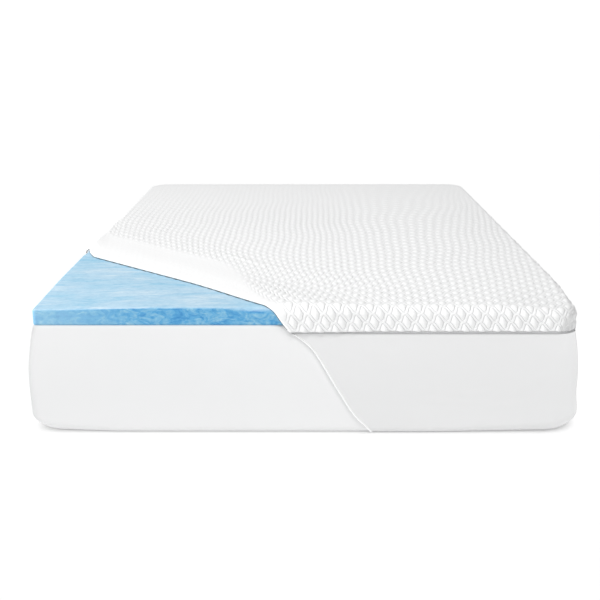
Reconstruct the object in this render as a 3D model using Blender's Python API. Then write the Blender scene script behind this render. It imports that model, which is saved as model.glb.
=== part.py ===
"""A fitted mattress topper on its mattress.

A quilted cover wraps a slab of gel foam and grips the mattress with a plain
stretch skirt.  The cover's front left corner is peeled back and turned under,
so that the slab and the bare mattress show.  Metres, +Z up, front towards -Y,
origin on the floor under the middle of the mattress.
"""
import math

import bmesh
import bpy
from mathutils import Vector

# --- the mattress -----------------------------------------------------------
MATTRESS_HEIGHT = 0.309
HALF_WIDTH = 0.7525            # at the top of the sides
HALF_LENGTH = 1.0065
SIDE_BULGE = 0.021             # soft sides stand out this far lower down
BULGE_HEIGHT = 0.115           # upright below this height
BULGE_REACH = 0.176            # and back in line with the top this far above it
SIDE_TOP = 0.303
TOP_FILLET = 0.006
BOTTOM_FILLET = 0.035
SOFT_FILLET = 0.058            # towards the front right corner, where the skirt draws the edge in
SOFT_REACH = 0.48
CORNERS_TOP = (0.018, 0.062, 0.085, 0.100)      # front left, front right, back right, back left
CORNERS_BOTTOM = (0.055, 0.098, 0.110, 0.120)
SIDE_LEVELS = (0.060, 0.090, 0.130, 0.170, 0.200, 0.230, 0.255, 0.277)

# --- the foam slab ----------------------------------------------------------
FOAM_THICKNESS = 0.051
FOAM_HALF_WIDTH = 0.7495
FOAM_HALF_LENGTH = 1.0035
FOAM_CORNERS = (0.018, 0.053, 0.076, 0.091)
FOAM_LOWER_EDGE = 0.003
FOAM_BARE_EDGE = 0.005         # edge rounding where the slab is bare
FOAM_COVERED_EDGE = 0.022      # and where the cover draws it in
FOAM_SAG = 0.006               # the bare corner lies a little lower
FOAM_SAG_REACH = 0.34
PRESSED_DOWN = 0.011           # the cover presses the front right corner down
PRESSED_REACH = 0.24
TOP_RINGS = (0.93, 0.84, 0.72, 0.60)     # rings over the top, as shares of the outline
BARE_FRONT = (-0.25, -0.15)    # sharp up to the first x, fully drawn in from the second
BARE_LEFT = (-0.52, -0.43)     # the same along the left side, in y

# --- the quilted cover ------------------------------------------------------
COVER_THICKNESS = 0.005
COVER_HALF_WIDTH = 0.7535      # inner face
COVER_HALF_LENGTH = 1.0075
COVER_CORNERS = (0.075, 0.057, 0.080, 0.095)
COVER_EDGE = 0.026             # soft rounding where top turns into border
COVER_OVER_FOAM = 0.0005
HEM_HEIGHT = 0.2945            # lower edge of the border
FOLD_POINT = Vector((-0.093, -1.0125, 0.366))   # where the fold crosses the front edge
FOLD_NORMAL = Vector((0.566, 0.651, 0.385)).normalized()
FOLD_SLANT = 0.913             # the cut leans, so its lines lie this much closer than on the cloth
FOLD_GAP = 0.0015              # between the two layers of the fold
FOLD_UNDER = 0.070             # how far the cloth is turned under
FOLD_SETTLE = 0.075            # the top layer comes down over this length
FOLD_LINES = (0.020, 0.045, FOLD_UNDER, 0.085, 0.100, 0.120, 0.145)
FOLD_BACK_AT_LEFT = 0.055      # the fold swings back near the left edge
NOSE_STEPS = 6                 # facets round the nose of the fold

# --- piping and skirt -------------------------------------------------------
PIPING_RADIUS = 0.0028
PIPING_SIDES = 8
PIPING_OUT = 0.0045            # centre of the cord outside HALF_WIDTH
PIPING_CORNERS_OUT = 0.004
PIPING_GAP = 0.0003
SKIRT_CLEAR = 0.0006
SKIRT_THICKNESS = 0.0016
SKIRT_FIRST_LEVEL = 2          # the skirt ends under the mattress, clear of the floor
SKIRT_HEM = (0.0, 0.0015, 0.0050, 0.0080)       # columns of the narrow hem
SKIRT_HEM_OUT = (0.0032, 0.0046, 0.0044, 0.0022)
# free edge of the skirt: height, sideways position on the front face
FREE_EDGE = ((0.000, 0.184), (0.052, 0.132), (0.113, 0.093), (0.204, 0.040),
             (0.244, 0.014), (0.269, -0.013), (0.294, -0.050))
LEFT_EDGE_Y = -0.339           # the left side's free edge starts here and leans back alike

# --- columns along the straight sides --------------------------------------
CORNER_STEPS = 8
FRONT_X = (-0.56, -0.42, -0.30, -0.25, -0.20, -0.15, -0.02, 0.12, 0.28, 0.43, 0.58)
RIGHT_Y = (-0.80, -0.50, -0.20, 0.10, 0.40, 0.65, 0.84)
BACK_X = (0.60, 0.40, 0.15, -0.10, -0.35, -0.60)
LEFT_Y = (0.84, 0.60, 0.35, 0.10, -0.15, -0.30, -0.43, -0.47, -0.52, -0.56, -0.70, -0.86)

FOAM_BOTTOM = MATTRESS_HEIGHT + 0.0003
FOAM_TOP = FOAM_BOTTOM + FOAM_THICKNESS
COVER_TOP = FOAM_TOP + COVER_OVER_FOAM
FOLD_HEIGHT = 2 * COVER_THICKNESS + FOLD_GAP
NOSE_LEVEL = FOLD_HEIGHT / 2 * FOLD_SLANT
UNDER_LEVEL = FOLD_UNDER * FOLD_SLANT
PIPING_HEIGHT = HEM_HEIGHT - PIPING_GAP - PIPING_RADIUS
SKIRT_HIGH = PIPING_HEIGHT - PIPING_RADIUS - PIPING_GAP
UP = Vector((0.0, 0.0, 1.0))


def smooth(t):
    t = min(max(t, 0.0), 1.0)
    return t * t * (3.0 - 2.0 * t)


def clear_scene():
    for obj in list(bpy.data.objects):
        bpy.data.objects.remove(obj, do_unlink=True)


def make_material(name, colour, roughness):
    mat = bpy.data.materials.new(name)
    mat.use_nodes = True
    shader = mat.node_tree.nodes["Principled BSDF"]
    shader.inputs["Base Color"].default_value = (*colour, 1.0)
    shader.inputs["Roughness"].default_value = roughness
    shader.inputs["Metallic"].default_value = 0.0
    mat.diffuse_color = (*colour, 1.0)
    return mat


def make_object(name, points, faces, colour, roughness):
    """Close the faces into one solid that faces out, and give it a material."""
    bm = bmesh.new()
    verts = [bm.verts.new(p) for p in points]
    for face in faces:
        bm.faces.new([verts[i] for i in face])
    bmesh.ops.triangulate(bm, faces=bm.faces[:])
    bmesh.ops.recalc_face_normals(bm, faces=bm.faces[:])
    mesh = bpy.data.meshes.new(name)
    bm.to_mesh(mesh)
    bm.free()
    mesh.shade_smooth()
    obj = bpy.data.objects.new(name, mesh)
    mesh.materials.append(make_material(name + "_material", colour, roughness))
    bpy.context.scene.collection.objects.link(obj)
    return obj


# --- outlines ---------------------------------------------------------------
def corner_points(half_x, half_y, radius, which, z):
    """Points round one corner; 0 front left, 1 front right, 2 back right, 3 back left."""
    sx, sy = ((-1, -1), (1, -1), (1, 1), (-1, 1))[which]
    cx, cy = sx * (half_x - radius), sy * (half_y - radius)
    start = math.pi + which * math.pi / 2
    points = []
    for i in range(CORNER_STEPS + 1):
        a = start + i * math.pi / 2 / CORNER_STEPS
        points.append(Vector((cx + radius * math.cos(a), cy + radius * math.sin(a), z)))
    return points


def round_the_bed(half_x, half_y, corners, z, front_x, left_y):
    """Open line from a point on the front, round right and back, to a point on the left."""
    line = [Vector((x, -half_y, z)) for x in front_x]
    line += corner_points(half_x, half_y, corners[1], 1, z)
    line += [Vector((half_x, y, z)) for y in RIGHT_Y]
    line += corner_points(half_x, half_y, corners[2], 2, z)
    line += [Vector((x, half_y, z)) for x in BACK_X]
    line += corner_points(half_x, half_y, corners[3], 3, z)
    return line + [Vector((-half_x, y, z)) for y in left_y]


def outline(half_x, half_y, corners, z):
    """One closed ring, anticlockwise from the front left corner."""
    ring = corner_points(half_x, half_y, corners[0], 0, z)
    return ring + round_the_bed(half_x, half_y, corners, z, FRONT_X, LEFT_Y)


def loft(rings):
    """Skin a stack of equal rings and cap both ends; the lower cap comes first."""
    points = [p for ring in rings for p in ring]
    n = len(rings[0])
    faces = [list(range(n))[::-1]]
    for k in range(len(rings) - 1):
        for i in range(n):
            j = (i + 1) % n
            faces.append([k * n + i, k * n + j, (k + 1) * n + j, (k + 1) * n + i])
    faces.append([(len(rings) - 1) * n + i for i in range(n)])
    return points, faces


# --- mattress ---------------------------------------------------------------
def side_out(z):
    """How far the side stands out at this height."""
    above = max(z - BULGE_HEIGHT, 0.0)
    return SIDE_BULGE * (1.0 - (above / BULGE_REACH) ** 2)


def side_profile(fillet):
    """(out, z) pairs from the floor up to the last side level."""
    pairs = []
    for i in range(6):
        a = -math.pi / 2 + i * math.pi / 10
        pairs.append((side_out(fillet) - fillet * (1.0 - math.cos(a)), fillet * (1.0 + math.sin(a))))
    return pairs + [(side_out(z), z) for z in SIDE_LEVELS]


def top_profile():
    """(out, z) pairs over the rounded top edge."""
    pairs = []
    for i in range(5):
        a = i * math.pi / 8
        pairs.append((side_out(SIDE_TOP) - TOP_FILLET + TOP_FILLET * math.cos(a),
                      SIDE_TOP + TOP_FILLET * math.sin(a)))
    return pairs


def corners_at(out, z):
    """Corner radii at this level, less what the top or bottom fillet draws in."""
    t = smooth(z / SIDE_TOP)
    drawn_in = out - side_out(min(z, SIDE_TOP))
    return [low + (high - low) * t + drawn_in for high, low in zip(CORNERS_TOP, CORNERS_BOTTOM)]


def towards_soft_corner(p, reach):
    """From 0 to 1 at the front right corner."""
    return smooth(1.0 - (p.xy - Vector((HALF_WIDTH, -HALF_LENGTH))).length / reach)


def soften(plain, soft):
    """Blend two lines of points towards the front right corner."""
    return [p + (q - p) * towards_soft_corner(p, SOFT_REACH) for p, q in zip(plain, soft)]


def side_ring(out, z):
    return outline(HALF_WIDTH + out, HALF_LENGTH + out, corners_at(out, z), z)


def build_mattress():
    pairs = zip(side_profile(BOTTOM_FILLET), side_profile(SOFT_FILLET))
    rings = [soften(side_ring(*plain), side_ring(*soft)) for plain, soft in pairs]
    rings += [side_ring(out, z) for out, z in top_profile()]
    points, faces = loft(rings)
    make_object("mattress", points, faces, (0.80, 0.81, 0.84), 0.85)


# --- foam slab --------------------------------------------------------------
def foam_edge(point):
    """Edge rounding of the slab at this point of its outline."""
    if point.y < -0.9:
        start, end, at = BARE_FRONT[0], BARE_FRONT[1], point.x
    elif point.x < -0.7:
        start, end, at = BARE_LEFT[0], BARE_LEFT[1], point.y
    else:
        return FOAM_COVERED_EDGE
    drawn_in = smooth((at - start) / (end - start))
    return FOAM_BARE_EDGE + (FOAM_COVERED_EDGE - FOAM_BARE_EDGE) * drawn_in


def foam_top_at(point):
    """Height of the slab's top; it sags towards its bare corner."""
    corner = Vector((-FOAM_HALF_WIDTH, -FOAM_HALF_LENGTH))
    return FOAM_TOP - FOAM_SAG * smooth(1.0 - (point.xy - corner).length / FOAM_SAG_REACH)


def press_down(p, base, top):
    """Lower a point between base and top as the front right corner is pressed down."""
    share = min((p.z - base) / (top - base), 1.0)
    return p - UP * PRESSED_DOWN * share * towards_soft_corner(p, PRESSED_REACH)


def foam_rim():
    """Points of the slab's outline, each with its direction inwards."""
    step = FOAM_CORNERS[0] / 2
    outer = outline(FOAM_HALF_WIDTH, FOAM_HALF_LENGTH, FOAM_CORNERS, 0.0)
    inner = outline(FOAM_HALF_WIDTH - step, FOAM_HALF_LENGTH - step,
                    [r - step for r in FOAM_CORNERS], 0.0)
    return [(p, (q - p).normalized()) for p, q in zip(outer, inner)]


def build_foam():
    rim = foam_rim()
    rings = [[p + inwards * FOAM_LOWER_EDGE + UP * FOAM_BOTTOM for p, inwards in rim],
             [p + UP * (FOAM_BOTTOM + FOAM_LOWER_EDGE) for p, inwards in rim]]
    for step in range(6):
        a = step * math.pi / 10
        ring = []
        for p, inwards in rim:
            edge = foam_edge(p)
            height = foam_top_at(p) - edge * (1.0 - math.sin(a))
            ring.append(p + inwards * edge * (1.0 - math.cos(a)) + UP * height)
        rings.append(ring)
    for scale in TOP_RINGS:
        ring = [p * scale for p, inwards in rim]
        rings.append([p + UP * foam_top_at(p) for p in ring])
    points, faces = loft(rings)
    points = [press_down(p, FOAM_BOTTOM, FOAM_TOP) for p in points]
    make_object("foam_slab", points, faces, (0.45, 0.62, 0.84), 0.8)


# --- quilted cover ----------------------------------------------------------
def cover_normal(p):
    """Outward direction of the cover at a point of its inner face."""
    right, back = p.x > 0, p.y > 0
    radius = COVER_CORNERS[(2 if right else 3) if back else (1 if right else 0)]
    vx = max(abs(p.x) - (COVER_HALF_WIDTH - radius), 0.0)
    vy = max(abs(p.y) - (COVER_HALF_LENGTH - radius), 0.0)
    reach = math.hypot(vx, vy)
    across = max(reach - (radius - COVER_EDGE), 0.0)
    if across < 1e-6:
        return UP.copy()
    side = Vector((math.copysign(vx, p.x), math.copysign(vy, p.y), 0.0)) / reach
    return (side * across + UP * max(p.z - (COVER_TOP - COVER_EDGE), 0.0)).normalized()


def fold_level(p):
    return (p - FOLD_POINT).dot(FOLD_NORMAL)


def fold_frame(p):
    """Distance from the fold along the cloth, the way out over the fold, and the normal."""
    normal = cover_normal(p)
    along = FOLD_NORMAL - normal * FOLD_NORMAL.dot(normal)
    distance = fold_level(p) / along.length
    along.z *= smooth((p.z - HEM_HEIGHT) / 0.03)      # level with the hem at its ends
    return distance, -along.normalized(), normal


def cover_base():
    """Inner face of the whole cover, cut off at the fold and along lines beside it."""
    rings = [outline(COVER_HALF_WIDTH, COVER_HALF_LENGTH, COVER_CORNERS, z)
             for z in (HEM_HEIGHT, (HEM_HEIGHT + COVER_TOP - COVER_EDGE) / 2)]
    for i in range(6):
        a = i * math.pi / 10
        depth = COVER_EDGE * (1.0 - math.cos(a))
        rings.append(outline(COVER_HALF_WIDTH - depth, COVER_HALF_LENGTH - depth,
                             [r - depth for r in COVER_CORNERS],
                             COVER_TOP - COVER_EDGE + COVER_EDGE * math.sin(a)))
    for scale in TOP_RINGS:
        rings.append([Vector((p.x * scale, p.y * scale, COVER_TOP)) for p in rings[0]])
    points, faces = loft(rings)
    bm = bmesh.new()
    verts = [bm.verts.new(p) for p in points]
    for face in faces[1:]:
        bm.faces.new([verts[i] for i in face])
    for k, distance in enumerate((FOLD_HEIGHT / 2,) + FOLD_LINES):
        bmesh.ops.bisect_plane(bm, geom=bm.verts[:] + bm.edges[:] + bm.faces[:], dist=1e-6,
                               plane_co=FOLD_POINT + FOLD_NORMAL * distance * FOLD_SLANT,
                               plane_no=FOLD_NORMAL, clear_inner=(k == 0))
    bm.verts.index_update()
    return bm


class Cloth:
    """The cover's points and faces, gathered layer by layer over one base."""

    def __init__(self, base):
        self.base = base
        self.points = []
        self.faces = []
        self.at = {}

    def put(self, layer, i, position):
        self.at[layer, i] = len(self.points)
        self.points.append(position)

    def sheet(self, layer, faces):
        self.faces += [[self.at[layer, i] for i in face] for face in faces]

    def wall(self, upper, lower, a, b):
        self.faces.append([self.at[upper, a], self.at[upper, b], self.at[lower, b], self.at[lower, a]])

    def on_level(self, level, *ids):
        return all(abs(fold_level(self.base[i]) - level) < 3e-5 for i in ids)

    def is_under(self, *ids):
        return all(fold_level(self.base[i]) < UNDER_LEVEL + 1e-5 for i in ids)


def lay_cover(cloth):
    """The top layer over the whole base, and the turned-under layer beside the fold."""
    for i, p in enumerate(cloth.base):
        distance, _, normal = fold_frame(p)
        settled = smooth((distance - FOLD_UNDER) / FOLD_SETTLE)
        lift = (COVER_THICKNESS + FOLD_GAP) * (1.0 - settled)
        cloth.put("top", i, p + normal * (lift + COVER_THICKNESS))
        cloth.put("inside", i, p + normal * lift)
        if cloth.is_under(i):
            cloth.put("fold", i, p + normal * COVER_THICKNESS)
            cloth.put("low", i, p.copy())


def round_nose(cloth, ids):
    """Arcs that join the two layers: one round the outside, one round the slot."""
    last = NOSE_STEPS
    for i in ids:
        _, out, normal = fold_frame(cloth.base[i])
        middle = cloth.base[i] + normal * FOLD_HEIGHT / 2
        for s in range(1, last):
            a = math.pi / 2 - s * math.pi / last
            turn = normal * math.sin(a) + out * math.cos(a)
            cloth.put(("round", s), i, middle + turn * FOLD_HEIGHT / 2)
            cloth.put(("slot", s), i, middle + turn * FOLD_GAP / 2)
        cloth.at[("round", 0), i], cloth.at[("round", last), i] = cloth.at["top", i], cloth.at["low", i]
        cloth.at[("slot", 0), i], cloth.at[("slot", last), i] = cloth.at["inside", i], cloth.at["fold", i]


def close_cover(cloth, rim, lines):
    """Walls along the hem, round the nose and at the end of the turned-under layer."""
    at_hem = set()
    for a, b in rim:
        if cloth.on_level(NOSE_LEVEL, a, b):
            for s in range(NOSE_STEPS):
                cloth.wall(("round", s), ("round", s + 1), a, b)
                cloth.wall(("slot", s), ("slot", s + 1), a, b)
            continue
        at_hem |= {a, b}
        cloth.wall("top", "inside", a, b)
        if cloth.is_under(a, b):
            cloth.wall("fold", "low", a, b)
    for i in at_hem:
        if cloth.on_level(NOSE_LEVEL, i):
            for s in range(NOSE_STEPS):
                cloth.faces.append([cloth.at[("round", s), i], cloth.at[("slot", s), i],
                                    cloth.at[("slot", s + 1), i], cloth.at[("round", s + 1), i]])
    for a, b in lines:
        if cloth.on_level(UNDER_LEVEL, a, b):
            cloth.wall("fold", "low", a, b)


def swing_back(p):
    """Near the left edge the fold swings back along the cloth."""
    swing = smooth((-0.69 - p.x) / 0.06) * smooth((p.y + 0.75) / 0.30) * smooth((0.40 - p.y) / 0.60)
    return p + Vector((0.0, FOLD_BACK_AT_LEFT * swing, 0.0))


def build_cover():
    bm = cover_base()
    cloth = Cloth([v.co.copy() for v in bm.verts])
    faces = [[v.index for v in f.verts] for f in bm.faces]
    lines = [[v.index for v in e.verts] for e in bm.edges]
    rim = [[v.index for v in e.verts] for e in bm.edges if e.is_boundary]
    bm.free()
    lay_cover(cloth)
    under = [face for face in faces if cloth.is_under(*face)]
    for layer, patch in (("top", faces), ("inside", faces), ("fold", under), ("low", under)):
        cloth.sheet(layer, patch)
    round_nose(cloth, sorted({i for edge in rim for i in edge if cloth.on_level(NOSE_LEVEL, i)}))
    close_cover(cloth, rim, lines)
    points = [swing_back(press_down(p, HEM_HEIGHT, COVER_TOP)) for p in cloth.points]
    make_object("cover_top", points, cloth.faces, (0.92, 0.92, 0.93), 0.9)


# --- piping -----------------------------------------------------------------
def free_edge(z):
    """Sideways position of the skirt's free edge at this height, a smooth curve."""
    k = max(i for i in range(len(FREE_EDGE) - 1) if FREE_EDGE[i][0] <= z)
    (z0, x0), (z1, x1) = FREE_EDGE[k], FREE_EDGE[k + 1]
    before = FREE_EDGE[max(k - 1, 0)]
    after = FREE_EDGE[min(k + 2, len(FREE_EDGE) - 1)]
    t = (z - z0) / (z1 - z0)
    m0 = (x1 - before[1]) / (z1 - before[0]) * (z1 - z0)
    m1 = (after[1] - x0) / (after[0] - z0) * (z1 - z0)
    return ((2 * t ** 3 - 3 * t ** 2 + 1) * x0 + (t ** 3 - 2 * t ** 2 + t) * m0
            + (3 * t ** 2 - 2 * t ** 3) * x1 + (t ** 3 - t ** 2) * m1)


def piping_path():
    start = free_edge(PIPING_HEIGHT) + 0.004
    end_caps = (0.0, 0.0012, 0.0028)
    front = [start + c for c in end_caps] + [0.15, 0.36, 0.57]
    left = [0.70, 0.40, 0.10, -0.15] + [LEFT_EDGE_Y + c for c in reversed(end_caps)]
    return round_the_bed(HALF_WIDTH + PIPING_OUT, HALF_LENGTH + PIPING_OUT,
                         [r + PIPING_CORNERS_OUT for r in COVER_CORNERS], PIPING_HEIGHT, front, left)


def build_piping():
    path = piping_path()
    last = len(path) - 1
    n = PIPING_SIDES
    points = []
    for k, p in enumerate(path):
        ahead = (path[min(k + 1, last)] - path[max(k - 1, 0)]).normalized()
        across = ahead.cross(UP).normalized()
        radius = PIPING_RADIUS * (0.35, 0.80, 1.0)[min(k, last - k, 2)]
        for s in range(n):
            a = (s + 0.5) * 2 * math.pi / n
            points.append(p + across * radius * math.cos(a) + UP * radius * math.sin(a))
    faces = [list(range(n)), [last * n + s for s in reversed(range(n))]]
    for k in range(last):
        for s in range(n):
            t = (s + 1) % n
            faces.append([k * n + s, (k + 1) * n + s, (k + 1) * n + t, k * n + t])
    make_object("piping", points, faces, (0.42, 0.43, 0.46), 0.7)


# --- skirt ------------------------------------------------------------------
def skirt_columns(z):
    """Positions along the front and the left side, from hem to corner and corner to hem."""
    edge = free_edge(z)
    left = LEFT_EDGE_Y + edge - free_edge(PIPING_HEIGHT)
    front = [edge + h for h in SKIRT_HEM]
    front += [front[-1] + (FRONT_X[-1] - front[-1]) * i / 5 for i in range(1, 6)]
    hem = [left + h for h in reversed(SKIRT_HEM)]
    side = [LEFT_Y[0] + (hem[0] - LEFT_Y[0]) * i / 6 for i in range(6)]
    return front, side + hem


def skirt_line(out, z, normal, offsets):
    """One level of the skirt, each column at its own offset from the mattress."""
    front, left = skirt_columns(z)
    corners = corners_at(out, z)
    line = []
    for h in sorted(set(offsets)):
        away = h * normal[0]
        line.append((h, round_the_bed(HALF_WIDTH + out + away, HALF_LENGTH + out + away,
                                      [r + away for r in corners], z + h * normal[1], front, left)))
    level = dict(line)
    return [level[h][i] for i, h in enumerate(offsets)]


def skirt_profile(fillet):
    """(out, z, normal) from the tucked lower edge up to the piping."""
    pairs = side_profile(fillet)[SKIRT_FIRST_LEVEL:]
    pairs.append((side_out(SKIRT_HIGH), SKIRT_HIGH))
    rows = []
    for k, (out, z) in enumerate(pairs[:-1]):
        before, after = pairs[max(k - 1, 0)], pairs[k + 1]
        run, rise = after[0] - before[0], after[1] - before[1]
        length = math.hypot(run, rise)
        rows.append((out, z, (rise / length, -run / length)))
    return rows + [(*pairs[-1], (1.0, 0.0))]


def build_skirt():
    levels = list(zip(skirt_profile(BOTTOM_FILLET), skirt_profile(SOFT_FILLET)))
    rows = len(levels)
    front, left = skirt_columns(SKIRT_HIGH)
    columns = len(round_the_bed(HALF_WIDTH, HALF_LENGTH, CORNERS_TOP, 0.0, front, left))
    between = [SKIRT_CLEAR + SKIRT_THICKNESS] * (columns - 2 * len(SKIRT_HEM_OUT))
    outer = list(SKIRT_HEM_OUT) + between + list(reversed(SKIRT_HEM_OUT))
    points = []
    for offsets in (outer, [SKIRT_CLEAR] * columns):
        for plain, soft in levels:
            points += soften(skirt_line(*plain, offsets), skirt_line(*soft, offsets))

    def at(layer, row, column):
        return (layer * rows + row) * columns + column

    faces = []
    for r in range(rows - 1):
        for c in range(columns - 1):
            for side in (0, 1):
                faces.append([at(side, r, c), at(side, r, c + 1), at(side, r + 1, c + 1), at(side, r + 1, c)])
        for c in (0, columns - 1):
            faces.append([at(0, r, c), at(0, r + 1, c), at(1, r + 1, c), at(1, r, c)])
    for c in range(columns - 1):
        for r in (0, rows - 1):
            faces.append([at(0, r, c), at(0, r, c + 1), at(1, r, c + 1), at(1, r, c)])
    make_object("skirt", points, faces, (0.90, 0.90, 0.92), 0.9)


def main():
    clear_scene()
    build_mattress()
    build_foam()
    build_cover()
    build_piping()
    build_skirt()


main()
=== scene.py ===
# %% [markdown]
# # A fitted mattress topper, peeled back at one corner
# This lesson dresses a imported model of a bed: a mattress, a slab of blue gel
# foam, a quilted cover with grey piping, and a plain stretch skirt.  The solids
# of that model are already at their real size and place, so each step here
# makes a finer piece over one of them and then hides the plain solid.
# Everything is in metres, +Z up, with the front of the bed towards -Y.

import math

import bmesh
import bpy
import numpy as np
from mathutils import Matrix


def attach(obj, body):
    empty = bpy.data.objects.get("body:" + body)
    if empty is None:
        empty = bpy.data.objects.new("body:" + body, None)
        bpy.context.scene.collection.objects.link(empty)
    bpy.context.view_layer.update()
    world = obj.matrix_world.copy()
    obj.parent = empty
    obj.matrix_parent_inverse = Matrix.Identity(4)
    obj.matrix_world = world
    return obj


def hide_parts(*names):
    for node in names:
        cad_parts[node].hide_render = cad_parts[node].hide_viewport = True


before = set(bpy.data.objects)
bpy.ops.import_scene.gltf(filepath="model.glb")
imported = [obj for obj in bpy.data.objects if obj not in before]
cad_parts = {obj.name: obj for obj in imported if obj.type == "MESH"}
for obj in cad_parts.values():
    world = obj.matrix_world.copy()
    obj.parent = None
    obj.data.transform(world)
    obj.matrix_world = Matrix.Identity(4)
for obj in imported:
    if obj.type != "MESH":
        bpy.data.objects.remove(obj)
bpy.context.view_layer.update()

# %% [markdown]
# ## The camera
# A product picture is taken from low in front of the bed with a mild telephoto
# lens.  The lens, height and tilt were fitted to the bed's own edges in the
# picture.  The picture was cropped off centre, and a small lens shift does that
# without turning the camera.

# %% Stand the camera in front
PICTURE = 600.0                     # pixels along each side of the picture
FOCAL_PIXELS = 887.3                # from the lens to the picture, in its pixels
LOOK_DOWN = math.radians(15.057)
EYE = (-0.0002, -3.3075, 1.0866)
CONTENT_RIGHT = 6.3                 # pixels by which the crop moves the bed
CONTENT_UP = 30.0

lens = bpy.data.cameras.new("front_camera")
lens.sensor_width = 36.0
lens.lens = lens.sensor_width * FOCAL_PIXELS / PICTURE
lens.shift_x = -CONTENT_RIGHT / PICTURE
lens.shift_y = -CONTENT_UP / PICTURE
camera = bpy.data.objects.new("front_camera", lens)
camera.location = EYE
camera.rotation_euler = (math.pi / 2 - LOOK_DOWN, 0.0, 0.0)
bpy.context.scene.collection.objects.link(camera)
bpy.context.scene.camera = camera
print("lens", round(lens.lens, 2), "mm")

# %% [markdown]
# ## Short calls for materials
# A procedural finish is a small net of nodes.  Written out in full it is long
# and hard to read, so one helper adds a node and joins its inputs, and another
# does sums.  A value that is the same all over is set on the shader itself.

# %% A recipe for a finish
class Finish:
    """One material: a Principled shader and the nodes that feed it."""

    def __init__(self, name, roughness, sheen=0.0):
        self.material = bpy.data.materials.new(name)
        self.material.use_nodes = True
        self.nodes = self.material.node_tree.nodes
        self.links = self.material.node_tree.links
        self.shader = self.nodes["Principled BSDF"]
        self.shader.inputs["Roughness"].default_value = roughness
        self.shader.inputs["Sheen Weight"].default_value = sheen
        self.shader.inputs["Specular IOR Level"].default_value = 0.3

    def join(self, socket, value):
        """Link a socket to another one, or set it to a number or colour."""
        if isinstance(value, bpy.types.NodeSocket):
            self.links.new(value, socket)
        else:
            socket.default_value = value

    def add(self, kind, inputs=(), **settings):
        node = self.nodes.new(kind)
        for name, value in settings.items():
            setattr(node, name, value)
        for name, value in dict(inputs).items():
            self.join(node.inputs[name], value)
        return node

    def sum(self, operation, *values):
        node = self.add("ShaderNodeMath", operation=operation)
        for socket, value in zip(node.inputs, values):
            self.join(socket, value)
        return node.outputs[0]

    def ease(self, value, start, end, low=0.0, high=1.0):
        """A soft step from low to high as value goes from start to end."""
        node = self.add("ShaderNodeMapRange", {"Value": value, "From Min": start, "From Max": end,
                                               "To Min": low, "To Max": high},
                        interpolation_type="SMOOTHSTEP")
        return node.outputs["Result"]

    def noise(self, place, scale, detail=3.0, roughness=0.5, distortion=0.0):
        node = self.add("ShaderNodeTexNoise", {"Vector": place, "Scale": scale, "Detail": detail,
                                               "Roughness": roughness, "Distortion": distortion})
        return node.outputs["Fac"]

    def place(self, scale=(1.0, 1.0, 1.0)):
        """The point's place in the room, stretched by scale."""
        where = self.add("ShaderNodeTexCoord").outputs["Object"]
        return self.add("ShaderNodeVectorMath", {0: where, 1: scale}, operation="MULTIPLY").outputs[0]

    def ramp(self, value, *stops):
        """Colours along a value; each stop is (position, colour)."""
        node = self.add("ShaderNodeValToRGB", {"Fac": value})
        while len(node.color_ramp.elements) < len(stops):
            node.color_ramp.elements.new(0.5)
        for element, (position, colour) in zip(node.color_ramp.elements, stops):
            element.position = position
            element.color = (*colour, 1.0)
        return node.outputs["Color"]

    def mix(self, share, first, second, blend="MIX"):
        node = self.add("ShaderNodeMix", data_type="RGBA", blend_type=blend)
        self.join(node.inputs[0], share)
        self.join(node.inputs[6], first)
        self.join(node.inputs[7], second)
        return node.outputs[2]

    def relief(self, height_mm):
        """Raise or sink the surface by a height in millimetres."""
        bump = self.add("ShaderNodeBump", {"Height": height_mm, "Distance": 0.001, "Strength": 1.0})
        self.links.new(bump.outputs["Normal"], self.shader.inputs["Normal"])

    def colour(self, value):
        self.join(self.shader.inputs["Base Color"], value)


def grey(value, tint=0.0):
    """A grey with a little blue in it."""
    return (value * (1.0 - tint), value * (1.0 - tint / 2), value, 1.0)


print("material helper ready")

# %% [markdown]
# ## Nets over a rounded box
# Mattress, foam and cover are all soft boxes with rounded corners.  A net of
# squares over such a box needs no poles: near the rim its rows follow rounded
# rectangles, and in the middle they become a plain grid.  A ring's corner
# points are spread by the distance walked round it, so that squares stay even.

# %% Walk round one side of a rounded rectangle
ALONG = np.array([(1.0, 0.0), (0.0, 1.0), (-1.0, 0.0), (0.0, -1.0)])      # front, right, back, left
OUTWARD = np.array([(0.0, -1.0), (1.0, 0.0), (0.0, 1.0), (-1.0, 0.0)])
FRONT, RIGHT, BACK, LEFT = range(4)


def smooth(t):
    t = np.clip(t, 0.0, 1.0)
    return t * t * (3.0 - 2.0 * t)


def corner_middle(half, radius):
    """Distance walked from the middle of a side to the middle of its corner."""
    return half - radius * (1.0 - math.pi / 4)


def walk_side(side, along, half_x, half_y, corners):
    """Points at distances along one side, and the way out there.

    corners are radii: front left, front right, back right, back left."""
    half, depth = (half_x, half_y) if side % 2 == 0 else (half_y, half_x)
    radius = np.maximum(np.where(along < 0.0, corners[side], corners[(side + 1) % 4]), 1e-6)
    straight = half - radius
    turn = np.maximum(np.abs(along) - straight, 0.0) / radius
    sideways = np.sign(along) * (np.minimum(np.abs(along), straight) + radius * np.sin(turn))
    outwards = depth - radius * (1.0 - np.cos(turn))
    spots = np.outer(sideways, ALONG[side]) + np.outer(outwards, OUTWARD[side])
    facing = np.outer(np.sign(along) * np.sin(turn), ALONG[side])
    facing += np.outer(np.cos(turn), OUTWARD[side])
    return spots, facing


print("a 1 m side with a 0.1 m corner:", round(corner_middle(0.5, 0.1), 4), "m to the corner's middle")

# %% [markdown]
# A net is a grid whose outer rows are these rings.  Each ring is as wide as its
# half sizes say and lies at its own height, so the same class weaves a side, a
# rounded edge and a flat top.

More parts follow.
